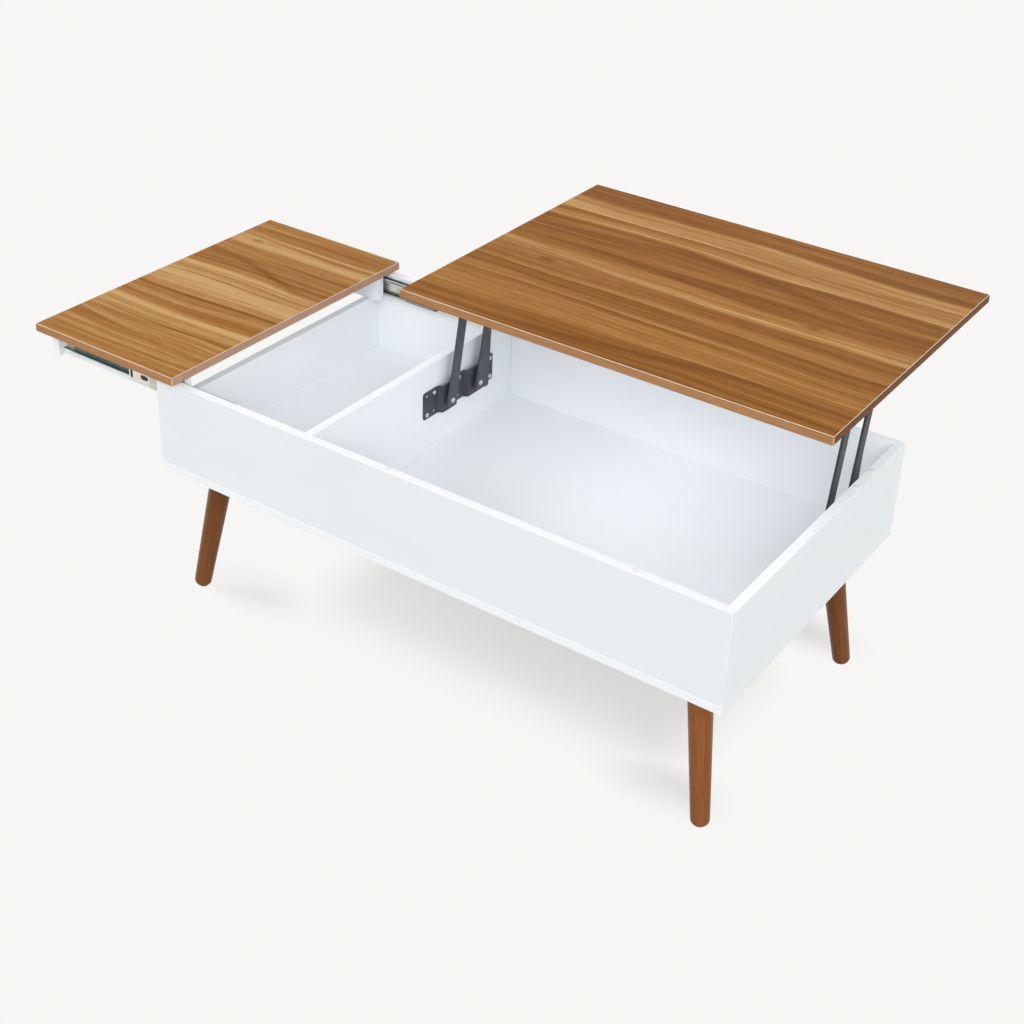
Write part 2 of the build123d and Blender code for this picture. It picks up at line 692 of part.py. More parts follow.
for name, left_piece in {
    "lift_base_plate": base_plate,
    "front_arm": front_arm,
    "rear_arm": rear_arm,
    "lid_bracket": bracket,
}.items():
    pieces["left_" + name] = left_piece
    pieces["right_" + name] = across_bay(left_piece)
for group, left_group in {
    "base_plate_screws": plate_screws,
    "lower_pivot_rivets": lower_rivets,
    "pivot_spacers": lower_spacers,
    "lid_bracket_screws": bracket_screws,
    "upper_pivot_rivets": upper_rivets,
    "pivot_washers": upper_washers,
}.items():
    pieces[group] = join(left_group + [across_bay(solid) for solid in left_group])

# Lid: the large board, raised and moved to the back
lid_x = (x_seam + top_seam / 2, x_right + top_overhang)
lid_y = (top_y[0] + lid_shift, top_y[1] + lid_shift)
lid_board, lid_band = laminated_top(lid_x, lid_y, (lid_z, lid_z + top_thickness))
lid_holes = bracket_screw_holes + [across_bay(hole) for hole in bracket_screw_holes]
pieces["lid_board"] = cut_all(lid_board, lid_holes)
pieces["lid_edge_band"] = lid_band

# Cross boards with the holes for their dowels and screws
wall_holes = dowel_holes + carcass_holes
pieces["left_end_panel"] = cut_all(left_end_panel, wall_holes)
pieces["divider_panel"] = cut_all(divider_panel, wall_holes + plate_screw_holes)
right_screw_holes = [across_bay(hole) for hole in plate_screw_holes]
pieces["right_end_panel"] = cut_all(right_end_panel, wall_holes + right_screw_holes)

# Clear bumpers on the rim keep the shut lid off the boards
bumper_height = rim_gap - bumper_clearance
bumper = Cylinder(bumper_radius, bumper_height, align=(Align.CENTER, Align.CENTER, Align.MIN))
bumper = chamfer(bumper.edges().group_by(Axis.Z)[-1], bumper_height * head_bevel)
bumper_spots = [(x_left + x, side * (y_back - board / 2)) for x in long_bumper_x for side in (-1, 1)]
bumper_spots += [(x_right - board / 2, y_front + y) for y in right_bumper_y]
pieces["lid_bumpers"] = join([Pos(x, y, z_rim) * bumper for x, y in bumper_spots])

os.makedirs("parts", exist_ok=True)
for name, solid in pieces.items():
    export_step(solid, f"parts/{name}.step")
print(len(pieces), "nodes")
print("arm swing", round(link_swing, 4), "lid lift", round(lid_lift, 3), "lid shift", round(lid_shift, 3))
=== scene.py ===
"""Lift top coffee table, shown as it is used: lid raised, sliding top pulled out."""
import json
from math import cos, e, pi, radians, sin

import bmesh
import bpy
from mathutils import Matrix, Vector

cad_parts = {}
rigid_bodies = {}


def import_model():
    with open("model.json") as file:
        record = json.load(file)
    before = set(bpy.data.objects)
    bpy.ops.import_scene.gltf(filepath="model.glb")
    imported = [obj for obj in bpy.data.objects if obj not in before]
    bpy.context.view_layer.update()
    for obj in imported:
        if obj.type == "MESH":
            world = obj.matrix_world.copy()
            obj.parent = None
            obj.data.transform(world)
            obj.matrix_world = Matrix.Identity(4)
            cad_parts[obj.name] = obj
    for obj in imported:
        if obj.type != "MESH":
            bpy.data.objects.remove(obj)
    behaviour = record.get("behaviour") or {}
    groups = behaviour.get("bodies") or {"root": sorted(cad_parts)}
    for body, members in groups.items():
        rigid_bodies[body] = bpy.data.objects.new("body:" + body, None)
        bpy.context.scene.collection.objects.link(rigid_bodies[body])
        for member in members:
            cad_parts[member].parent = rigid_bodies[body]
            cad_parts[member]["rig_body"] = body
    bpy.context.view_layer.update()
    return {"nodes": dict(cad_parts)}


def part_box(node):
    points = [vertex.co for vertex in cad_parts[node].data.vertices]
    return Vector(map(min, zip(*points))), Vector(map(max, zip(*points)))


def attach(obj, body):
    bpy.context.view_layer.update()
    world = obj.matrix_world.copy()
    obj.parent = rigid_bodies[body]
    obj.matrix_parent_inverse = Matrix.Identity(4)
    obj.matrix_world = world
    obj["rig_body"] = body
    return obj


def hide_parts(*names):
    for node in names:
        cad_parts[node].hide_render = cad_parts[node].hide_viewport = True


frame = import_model()
nodes = frame["nodes"]

# White boards: the box is particle board faced with white melamine, its cut edges closed with a
# white band. The press plate leaves a fine pebbled relief on the faces, and the white is faintly
# uneven from board to board.


class Shade:
    """One socket of a material's nodes, on which sums are written as plain Python."""

    def __init__(self, tree, socket=None):
        self.tree = tree
        self.socket = socket

    def node(self, kind, settings, inputs, output=0):
        """A new node of the same material, by one of its outputs."""
        made = self.tree.nodes.new(kind)
        for name, value in settings.items():
            if name == "stops":
                points = made.color_ramp.elements
                while len(points) < len(value):
                    points.new(1.0)
                for point, (at, colour) in zip(points, value):
                    point.position = at
                    point.color = (*colour, 1.0)
            else:
                setattr(made, name, value)
        for name, value in inputs.items():
            if isinstance(value, Shade):
                self.tree.links.new(value.socket, made.inputs[name])
            else:
                made.inputs[name].default_value = value
        return Shade(self.tree, made.outputs[output] if made.outputs else None)

    def maths(self, operation, other=0.0):
        return self.node("ShaderNodeMath", {"operation": operation}, {0: self, 1: other})

    def reversed_maths(self, operation, other):
        return self.node("ShaderNodeMath", {"operation": operation}, {0: other, 1: self})

    def vector_maths(self, operation, other=(0.0, 0.0, 0.0), output=0):
        return self.node("ShaderNodeVectorMath", {"operation": operation}, {0: self, 1: other}, output)

    def part(self, axis):
        """One axis of a place."""
        return self.node("ShaderNodeSeparateXYZ", {}, {"Vector": self}, axis)

    def rise(self, start, end, kind="LINEAR"):
        """0 where this value is at the start, turning to 1 at the end, and steady beyond both."""
        limits = {"Value": self, "From Min": start, "From Max": end}
        return self.node("ShaderNodeMapRange", {"interpolation_type": kind}, limits)

    def turning(self, first, second):
        """One colour turning to another as this value goes from 0 to 1."""
        factor_socket, first_socket, second_socket, colour_output = 0, 6, 7, 2
        inputs = {factor_socket: self, first_socket: first, second_socket: second}
        return self.node("ShaderNodeMix", {"data_type": "RGBA"}, inputs, colour_output)

    def __add__(self, other):
        return self.maths("ADD", other)

    def __sub__(self, other):
        return self.maths("SUBTRACT", other)

    def __rsub__(self, other):
        return self.reversed_maths("SUBTRACT", other)

    def __mul__(self, other):
        return self.maths("MULTIPLY", other)

    def __truediv__(self, other):
        return self.maths("DIVIDE", other)

    def __pow__(self, other):
        return self.maths("POWER", other)

    def __rpow__(self, other):
        return self.reversed_maths("POWER", other)

    __radd__ = __add__
    __rmul__ = __mul__


def open_finish(name):
    """A new material, and the place on the piece in metres to build its finish from."""
    material = bpy.data.materials.new(name)
    material.use_nodes = True
    material.node_tree.nodes.clear()
    place = Shade(material.node_tree).node("ShaderNodeTexCoord", {}, {}, "Object")
    return material, place


def close_finish(material, colour, roughness, relief, depth, steady={}):
    """Joins a colour, a roughness, a relief of some depth in metres and steady values to the shader."""
    bump = {"Strength": 1.0, "Distance": depth, "Height": relief}
    inputs = {"Base Color": colour, "Roughness": roughness}
    inputs["Normal"] = relief.node("ShaderNodeBump", {}, bump, "Normal")
    inputs.update(steady)
    shader = relief.node("ShaderNodeBsdfPrincipled", {}, inputs)
    shader.node("ShaderNodeOutputMaterial", {}, {"Surface": shader})
    return material


def noise(place, per_metre, detail=2.0, offset=0.0, crispness=0.5):
    """Soft random tone from 0 to 1, with its own number of blotches per metre along each axis."""
    moved = place.vector_maths("MULTIPLY", per_metre).vector_maths("ADD", (offset, offset, offset))
    spread = {"Vector": moved, "Scale": 1.0, "Detail": detail, "Roughness": crispness}
    return place.node("ShaderNodeTexNoise", {}, spread)


def between(dark, light):
    """Stops from one colour to another over the tones that noise has most of."""
    return [(0.3, dark), (0.7, light)]


def tint(tone, stops):
    """A colour for each tone from 0 to 1."""
    return tone.node("ShaderNodeValToRGB", {"stops": stops}, {"Fac": tone})


def dress(material, *names):
    """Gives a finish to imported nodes."""
    for name in names:
        nodes[name].data.materials.clear()
        nodes[name].data.materials.append(material)


white_stops = between((0.872, 0.900, 0.922), (0.892, 0.920, 0.942))
pebbles_per_metre = (900, 900, 900)
clouds_per_metre = (5, 5, 9)
pebble_depth = 0.00003
white_board, place = open_finish("white_melamine")
pebbles = noise(place, pebbles_per_metre, 3.0)
clouds = noise(place, clouds_per_metre, 3.0)
white = tint(0.8 * clouds + 0.2 * pebbles, white_stops)
gloss = 0.36 + 0.10 * clouds + 0.10 * pebbles
close_finish(white_board, white, gloss, pebbles, pebble_depth, {"Specular IOR Level": 0.3})
dress(white_board, "bottom_panel", "front_panel", "back_panel", "left_end_panel", "right_end_panel")
dress(white_board, "divider_panel", "front_rail", "back_rail", "sliding_top_fascia")

# Dowels: plain beech pegs glued into the boards' ends, hidden once the box is together.


def grained(name, stops, per_metre, detail, roughness, depth, steady={}):
    """A finish with one grain, which moves its colour, its roughness and its relief."""
    material, place = open_finish(name)
    grain = noise(place, per_metre, detail)
    least, change = roughness
    return close_finish(material, tint(grain, stops), least + change * grain, grain, depth, steady)


beech_stops = between((0.52, 0.36, 0.19), (0.66, 0.49, 0.29))
peg_fibre_per_metre = (400, 30, 400)
beech = grained("beech_peg", beech_stops, peg_fibre_per_metre, 3.0, roughness=(0.6, 0.2), depth=0.00005)
dress(beech, "carcass_dowels")

# Legs: turned from straight grained hardwood, stained walnut and sealed with a satin lacquer. The
# stain sits darker in the long pores, and the grain runs along each splayed leg. A thin ring at the
# top of each leg is painted darker as shade under the board.
leg_dark = (0.098, 0.026, 0.004)
leg_mid = (0.242, 0.083, 0.021)
leg_light = (0.368, 0.148, 0.044)
stain_stops = [(0.24, leg_dark), (0.46, leg_mid), (0.70, leg_light)]
stain_strengths = {"front_right": 1.04, "front_left": 0.78, "back_right": 0.76, "back_left": 0.80}
grain_seeds = {"front_right": 48.0, "front_left": 51.0, "back_right": 54.0, "back_left": 57.0}
lacquer = {"Specular IOR Level": 0.12, "Coat Weight": 0.08, "Coat Roughness": 0.10}
figure_per_metre = (60, 60, 3.0)
fibre_per_metre = (420, 420, 9.0)
pores_per_metre = (1100, 1100, 30)
pore_tones = (0.60, 0.72)
pore_depth = 0.00007
leg_top_radius = 0.0207
leg_foot_radius = 0.0150
leg_foot_round = 0.0115
leg_round_steps = 8
leg_turn_steps = 72
leg_spare = 0.012
leg_end_share = 0.02
top_shade_height = 0.0022
smooth_below = radians(38)
axis_weld = 1e-7


def turned_blank(profile, steps):
    """A solid turned about Z from points of radius and depth below its top."""
    blank = bmesh.new()
    points = [blank.verts.new((radius, 0.0, -depth)) for radius, depth in profile]
    rows = [blank.edges.new(pair) for pair in zip(points, points[1:])]
    whole_turn = {"cent": (0, 0, 0), "axis": (0, 0, 1), "angle": 2 * pi, "steps": steps}
    bmesh.ops.spin(blank, geom=points + rows, **whole_turn)
    bmesh.ops.remove_doubles(blank, verts=blank.verts, dist=axis_weld)
    bmesh.ops.recalc_face_normals(blank, faces=blank.faces)
    mesh = bpy.data.meshes.new("turned_blank")
    blank.to_mesh(mesh)
    blank.free()
    return mesh


def put_in_place(name, piece, finish):
    """Shows a finished piece instead of a node, on the same body."""
    mesh = bpy.data.meshes.new(name + "_turned")
    piece.to_mesh(mesh)
    piece.free()
    mesh.polygons.foreach_set("use_smooth", [True] * len(mesh.polygons))
    mesh.set_sharp_from_angle(angle=smooth_below)
    mesh.materials.append(finish)
    shown = bpy.data.objects.new(name + "_turned", mesh)
    bpy.context.scene.collection.objects.link(shown)
    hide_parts(name)
    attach(shown, nodes[name]["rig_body"])


def turned_leg(foot, axis, low, high):
    """A tapered leg with a round foot, cut level where it meets the board and the pad."""
    length = high / axis.z + leg_spare
    profile = [(0.0, 0.0), (leg_top_radius, 0.0)]
    for step in range(leg_round_steps + 1):
        angle = pi / 2 * step / leg_round_steps
        radius = leg_foot_radius - leg_foot_round * (1 - cos(angle))
        profile.append((radius, length - leg_foot_round * (1 - sin(angle))))
    profile.append((0.0, length))
    blank = turned_blank(profile, leg_turn_steps)
    lean = axis.to_track_quat("Z", "Y").to_matrix().to_4x4()
    blank.transform(Matrix.Translation(foot + axis * length) @ lean)
    piece = bmesh.new()
    piece.from_mesh(blank)
    for height, outward in ((high, 1.0), (low, -1.0)):
        whole = piece.verts[:] + piece.edges[:] + piece.faces[:]
        level = {"plane_co": (0, 0, height), "plane_no": (0, 0, outward)}
        bmesh.ops.bisect_plane(piece, geom=whole, clear_outer=True, **level)
        bmesh.ops.holes_fill(piece, edges=[edge for edge in piece.edges if edge.is_boundary])
    bmesh.ops.recalc_face_normals(piece, faces=piece.faces)
    return piece


foot_places = []
for corner, strength in stain_strengths.items():
    name = "leg_" + corner
    low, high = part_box(name)
    points = [vertex.co for vertex in nodes[name].data.vertices]
    shares = [(point.z - low.z) / (high.z - low.z) for point in points]
    tops = [point for point, share in zip(points, shares) if share > 1.0 - leg_end_share]
    feet = [point for point, share in zip(points, shares) if share < leg_end_share]
    foot = sum(feet, Vector()) / len(feet)
    axis = (sum(tops, Vector()) / len(tops) - foot).normalized()
    foot -= axis * (foot.z / axis.z)
    foot_places.append(foot)
    sideways = axis.cross(Vector((0, 1, 0))).normalized()
    stained, place = open_finish("stained_" + name)
    leaning = {}
    for letter, direction in (("X", sideways), ("Y", axis.cross(sideways)), ("Z", axis)):
        leaning[letter] = place.vector_maths("DOT_PRODUCT", direction, "Value")
    along = place.node("ShaderNodeCombineXYZ", {}, leaning)
    seed = grain_seeds[corner]
    figure = noise(along, figure_per_metre, 4.0, seed)
    fibre = noise(along, fibre_per_metre, 4.0, seed)
    open_pores = noise(along, pores_per_metre, 2.0, seed).rise(*pore_tones)
    # Painted shade: the stain is darkened over the last top_shade_height of the leg, under the board.
    shade_under_board = place.part("Z").rise(high.z - top_shade_height, high.z)
    tone = 0.16 + 0.30 * figure + 0.30 * fibre - 0.12 * open_pores - 0.30 * shade_under_board
    stain = tint(tone, [(at, [strength * part for part in colour]) for at, colour in stain_stops])
    gloss = 0.30 + 0.12 * fibre + 0.20 * open_pores
    close_finish(stained, stain, gloss, fibre - 0.8 * open_pores, pore_depth, lacquer)
    put_in_place(name, turned_leg(foot, axis, low.z, high.z), stained)

# Foot pads: dark pressed felt discs under the legs.
felt_stops = between((0.020, 0.017, 0.015), (0.060, 0.052, 0.045))
felt_per_metre = (1500, 1500, 1500)
felt = grained("felt_pad", felt_stops, felt_per_metre, 4.0, roughness=(0.85, 0.1), depth=0.0002)
dress(felt, "foot_pads")

# Plain steel: hanger bolts and their inserts, bright with zinc plating.
zinc_stops = between((0.60, 0.61, 0.60), (0.76, 0.77, 0.76))
plating_per_metre = (160, 160, 160)
scratches_per_metre = (2400, 2400, 200)
scratch_depth = 0.00001
zinc, place = open_finish("bright_zinc")
cloud = noise(place, plating_per_metre, 3.0)
scratch = noise(place, scratches_per_metre, 3.0)
gloss = 0.20 + 0.20 * scratch
close_finish(zinc, tint(cloud, zinc_stops), gloss, scratch, scratch_depth, {"Metallic": 1.0})
dress(zinc, "leg_hanger_bolts", "leg_threaded_inserts")

# Screws and rivets: headed from zinc plated wire. Pan heads hold the plates and brackets, flat heads
# sink into the boards and slides, and all have a cross recess. The rivets' domes have a centre dimple.
# A dome is points of radius and depth, as shares of the head's own.
pan_dome = [(0.0, 0.0), (0.40, 0.03), (0.70, 0.13), (0.90, 0.36), (1.0, 0.68), (1.0, 1.0)]
flat_dome = [(0.0, 0.0), (0.985, 0.0), (1.0, 0.06)]
dimple = [(0.0, 0.26), (0.17, 0.20), (0.26, 0.02)]
rivet_dome = dimple + [(0.36, 0.0), (0.66, 0.10), (0.90, 0.42), (1.0, 0.78), (1.0, 1.0)]
plate_screw = {"dome": pan_dome, "radius": 0.0042, "height": 0.0024, "shank": 0.0022}
rail_screw = {"dome": pan_dome, "radius": 0.0030, "height": 0.0017, "shank": 0.0017}
wall_screw = {"dome": flat_dome, "radius": 0.0030, "height": 0.0012, "shank": 0.0017}
board_screw = {"dome": flat_dome, "radius": 0.0040, "height": 0.0026, "shank": 0.0020}
pivot_rivet = {"dome": rivet_dome, "radius": 0.0050, "height": 0.0020, "shank": 0.0030, "foot": 0.0020}
turned_steps = 28
turn_between = 0.9
recess_reach = 0.56
recess_half_width = 0.13
recess_taper = 0.5
recess_depth = 0.62
point_length = 2.0
foot_bevel = 0.3
foot_face = 0.88
end_depth = 0.0001
seam_weld = 1e-6


def ends_of(points):
    """The lowest and the highest place of some points along each axis."""
    low = [min(point[i] for point in points) for i in range(3)]
    high = [max(point[i] for point in points) for i in range(3)]
    return low, high


def solids_of(name):
    """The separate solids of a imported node, each as its points, in order of place."""
    joined = bmesh.new()
    joined.from_mesh(nodes[name].data)
    bmesh.ops.remove_doubles(joined, verts=joined.verts, dist=seam_weld)
    waiting = set(joined.verts)
    solids = []
    while waiting:
        reached = [waiting.pop()]
        for vertex in reached:
            touching = {edge.other_vert(vertex) for edge in vertex.link_edges} & waiting
            waiting -= touching
            reached.extend(touching)
        solids.append([vertex.co.copy() for vertex in reached])
    joined.free()
    return sorted(solids, key=lambda points: [round(part, 4) for part in ends_of(points)[0]])


def with_recess(mesh, radius, depth):
    """The same turned blank with a tapered cross pressed into its head."""
    reach = recess_reach * radius
    half = recess_half_width * radius
    cross = []
    for turn in (0, pi / 2, pi, 3 * pi / 2):
        for x, y in ((reach, -half), (reach, half), (half, half)):
            cross.append((x * cos(turn) - y * sin(turn), x * sin(turn) + y * cos(turn)))
    punch = bmesh.new()
    rim = [punch.verts.new((x, y, depth)) for x, y in cross]
    tip = [punch.verts.new((x * recess_taper, y * recess_taper, -depth)) for x, y in cross]
    punch.faces.new(rim)
    punch.faces.new(tip[::-1])
    for i in range(len(cross)):
        punch.faces.new((rim[i - 1], tip[i - 1], tip[i], rim[i]))
    bmesh.ops.recalc_face_normals(punch, faces=punch.faces)
    punch_mesh = bpy.data.meshes.new("recess_punch")
    punch.to_mesh(punch_mesh)
    punch.free()
    pair = [bpy.data.objects.new("pressed_" + part.name, part) for part in (mesh, punch_mesh)]
    for part in pair:
        bpy.context.scene.collection.objects.link(part)
    press = pair[0].modifiers.new("press", "BOOLEAN")
    press.operation = "DIFFERENCE"
    press.solver = "EXACT"
    press.object = pair[1]
    evaluated = pair[0].evaluated_get(bpy.context.evaluated_depsgraph_get())
    pressed = bpy.data.meshes.new_from_object(evaluated)
    for part in pair:
        bpy.data.objects.remove(part)
    return pressed


def headed(name, letter, dome, radius, height, shank, foot=0.0):
    """Turned pieces in place of a node's solids, which lie along one axis. A screw has its head on the
    wide end and runs to a point. A rivet has its dome on the other end and a formed foot."""
    axis = "XYZ".index(letter)
    across = [i for i in range(3) if i != axis]
    piece = bmesh.new()
    for index, points in enumerate(solids_of(name)):
        low, high = ends_of(points)
        middle = Vector([(low[i] + high[i]) / 2 for i in range(3)])
        length = high[axis] - low[axis]
        widths = []
        for end in (low[axis], high[axis]):
            near_end = [point for point in points if abs(point[axis] - end) < end_depth]
            widths.append(sum(max(abs(point[i] - middle[i]) for point in near_end) for i in across))
        outward = Vector((0, 0, 0))
        outward[axis] = 1.0 if widths[1] > widths[0] else -1.0
        profile = [(radius * wide, height * deep) for wide, deep in dome]
        profile.append((shank, height))
        if foot:
            outward = -outward
            profile += [(shank, length - foot), (radius, length - foot)]
            profile += [(radius, length - foot_bevel * foot), (foot_face * radius, length), (0.0, length)]
            blank = turned_blank(profile, turned_steps)
        else:
            profile += [(shank, length - point_length * shank), (0.0, length)]
            blank = with_recess(turned_blank(profile, turned_steps), radius, recess_depth * height)
        top = middle + outward * length / 2
        spin = Matrix.Rotation(turn_between * index, 4, "Z")
        lean = outward.to_track_quat("Z", "Y").to_matrix().to_4x4()
        blank.transform(Matrix.Translation(top) @ lean @ spin)
        piece.from_mesh(blank)
    put_in_place(name, piece, zinc)


headed("base_plate_screws", "X", **plate_screw)
headed("lid_bracket_screws", "Z", **plate_screw)
headed("slide_rail_screws", "Y", **rail_screw)
headed("slide_wall_screws", "Y", **wall_screw)
headed("rail_screws", "Z", **board_screw)
headed("carcass_screws", "Z", **board_screw)
headed("lower_pivot_rivets", "X", **pivot_rivet)
headed("upper_pivot_rivets", "X", **pivot_rivet)

# Telescopic slides: three nested members formed from cold rolled strip, with fine lines drawn along
# them by the rolls. The outer and middle ones are bright zinc. The inner ones are painted a dark grey
# green as painted shade and painted dark reflection in their channels, all but their outer ends,
# which keep the bright zinc. Faces that face up or down are painted darker still as shade: the races
# of the middle ones, the lips of the inner ones, and the races of the outer ones as far as the middle
# ones reach over them.
bright_stops = between((0.70, 0.70, 0.63), (0.93, 0.92, 0.85))
shaded_channel_stops = between((0.150, 0.215, 0.200), (0.400, 0.490, 0.460))
race_shade_stops = between((0.022, 0.026, 0.024), (0.075, 0.084, 0.078))
lip_shade_stops = between((0.075, 0.105, 0.100), (0.210, 0.265, 0.250))
rolled = {"bright": bright_stops, "dark": shaded_channel_stops, "race": race_shade_stops}
rolled.update({"greased": race_shade_stops, "lip": lip_shade_stops})
# Painted shadow: the middle members shade the outer members' races up to the middle members' far end, and
# the inner members' painted shade stops short of their outer ends.
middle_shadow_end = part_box("back_slide_middle")[1].x
middle_shadow_blur = 0.004
unshaded_end_length = 0.022
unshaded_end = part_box("front_slide_inner")[0].x + unshaded_end_length
unshaded_end_blur = 0.001
unshaded_over = {
    "greased": (middle_shadow_end - middle_shadow_blur, middle_shadow_end + middle_shadow_blur),
    "dark": (unshaded_end + unshaded_end_blur, unshaded_end - unshaded_end_blur),
}
roll_lines_per_metre = (6, 1400, 1400)
roll_ribs_per_metre = (3, 260, 260)
roll_line_depth = 0.00002
race_slope = 0.5
strips = {}
for name, stops in rolled.items():
    strips[name], place = open_finish(name + "_slide_strip")
    lines = noise(place, roll_lines_per_metre, 3.0)
    ribs = noise(place, roll_ribs_per_metre, 2.0)
    tone = 0.4 * lines + 0.6 * ribs
    strip_colour = tint(tone, stops)
    # Past these places the painted shade gives way to bright zinc.
    if name in unshaded_over:
        unshaded = place.part("X").rise(*unshaded_over[name])
        strip_colour = unshaded.turning(strip_colour, tint(tone, bright_stops))
    gloss = 0.24 + 0.22 * lines
    close_finish(strips[name], strip_colour, gloss, lines, roll_line_depth, {"Metallic": 1.0})
members = {
    "_slide_outer": ("bright", "greased"),
    "_slide_middle": ("bright", "race"),
    "_slide_inner": ("dark", "lip"),
}
for side in ("front", "back"):
    for member, (web, race) in members.items():
        dress(strips[web], side + member)
        channel = nodes[side + member].data
        channel.materials.append(strips[race])
        # Faces that face up or down take the darker painted shade.
        for face in channel.polygons:
            face.material_index = 1 if abs(face.normal.z) > race_slope else 0

# Balls: hardened steel, ground round. They run a hair clear of the members' lips.
ball_radius = 0.0014
for name in ("outer_slide_balls", "inner_slide_balls"):
    balls = bmesh.new()
    for points in solids_of(name):
        low, high = ends_of(points)
        middle = Matrix.Translation([(low[i] + high[i]) / 2 for i in range(3)])
        bmesh.ops.create_icosphere(balls, subdivisions=3, radius=ball_radius, matrix=middle)
    put_in_place(name, balls, zinc)

# Ball cages and the black clips of the middle members: moulded plastic.
cage_stops = between((0.62, 0.60, 0.50), (0.72, 0.70, 0.61))
clip_stops = between((0.012, 0.012, 0.013), (0.030, 0.030, 0.032))
mould_per_metre = (1800, 1800, 1800)
cage = grained("cage_plastic", cage_stops, mould_per_metre, 2.0, roughness=(0.4, 0.15), depth=0.00002)
dress(cage, "outer_ball_cages", "inner_ball_cages")
clip = grained("black_clip_plastic", clip_stops, mould_per_metre, 2.0, roughness=(0.38, 0.2), depth=0.00003)
dress(clip, "slide_middle_clips")

# Lift mechanism: plates, arms and brackets pressed from steel sheet and powder coated satin black,
# with the coat's fine orange peel. The one coat is given three brightnesses: the plates, brackets and
# spacers are painted darker as shade, and the right arms darker still as shade. Dark nylon washers
# sit in the upper pivots.
# The same black in three copies: the left arms' own, and darker copies as painted shade on the plates and
# on the right arms.
coat_stops = {
    "plate": between((0.034, 0.037, 0.043), (0.058, 0.063, 0.072)),
    "left_arm": between((0.047, 0.052, 0.062), (0.080, 0.088, 0.103)),
    "right_arm": between((0.022, 0.024, 0.029), (0.040, 0.044, 0.052)),
}
peel_per_metre = (700, 700, 700)
coat_clouds_per_metre = (30, 30, 30)
peel_depth = 0.00004
coats = {}
for name, stops in coat_stops.items():
    coats[name], place = open_finish("black_powder_coat_" + name)
    peel = noise(place, peel_per_metre, 2.0)
    cloud = noise(place, coat_clouds_per_metre, 3.0)
    coat_colour = tint(0.5 * peel + 0.5 * cloud, stops)
    gloss = 0.38 + 0.16 * peel
    close_finish(coats[name], coat_colour, gloss, peel, peel_depth, {"Specular IOR Level": 0.4})
dress(coats["plate"], "left_lift_base_plate", "right_lift_base_plate", "pivot_spacers")
dress(coats["plate"], "left_lid_bracket", "right_lid_bracket")
for side in ("left", "right"):
    dress(coats[side + "_arm"], side + "_front_arm", side + "_rear_arm")
nylon_stops = between((0.035, 0.035, 0.038), (0.06, 0.06, 0.065))
nylon_per_metre = (1500, 1500, 1500)
nylon = grained("nylon_washer", nylon_stops, nylon_per_metre, 2.0, roughness=(0.45, 0.2), depth=0.00002)
dress(nylon, "pivot_washers")

# Rim bumpers: clear soft dots that keep the shut lid off the boards.
clear_stops = between((0.90, 0.91, 0.92), (0.95, 0.96, 0.97))
haze_per_metre = (900, 900, 900)
haze_roughness = (0.12, 0.1)
haze_depth = 0.00001
clear = {"Transmission Weight": 0.15, "IOR": 1.45}
bumper = grained("clear_bumper", clear_stops, haze_per_metre, 2.0, haze_roughness, haze_depth, clear)
dress(bumper, "lid_bumpers")

# Table tops: particle board with a walnut print laminate whose grain runs along the table. Broad
# pale bands carry finer dark and light lines, a few lines wander across, and small knots push the
# grain aside. Each top has its own run of the print, and a plain white sheet as its backing.
laminate_stops = [
    (0.00, (0.172, 0.055, 0.002)),
    (0.20, (0.224, 0.078, 0.005)),
    (0.40, (0.287, 0.113, 0.017)),
    (0.60, (0.360, 0.160, 0.036)),
    (0.80, (0.445, 0.236, 0.076)),
    (1.00, (0.555, 0.335, 0.130)),
]
print_per_metre = {
    "drift": (1.3, 3.0, 0.0),
    "wave": (4.0, 14.0, 0.0),
    "ring_wander": (0.7, 5.0, 0.0),
    "ring_strength": (0.9, 8.0, 0.0),
    "streaks": (1.5, 80.0, 0.0),
    "dark_threads": (0.9, 115.0, 0.0),
    "pale_threads": (1.1, 120.0, 0.0),
    "fibre": (20.0, 640.0, 0.0),
    "pores": (55.0, 1500.0, 0.0),
}
print_tones = {"dark_threads": (0.59, 0.68), "pale_threads": (0.60, 0.70), "pores": (0.62, 0.70)}
knot_bulge = (22.0, 2.5)
knot_heart = (1.6, 0.35)
stray_fade = (-0.12, 0.22)
stray_sharpness = 2.4
rings_across = 9.0
ring_wander = 3.6
ring_sharpness = 1.6
print_depth = 0.00005
backing_slope = -0.9


def hump(first, second, spreads=(1.0, 1.0)):
    """1 where both distances are 0, and falling away from there by a spread for each."""
    return e ** (-1.0 * (first * first / spreads[0] + second * second / spreads[1]))


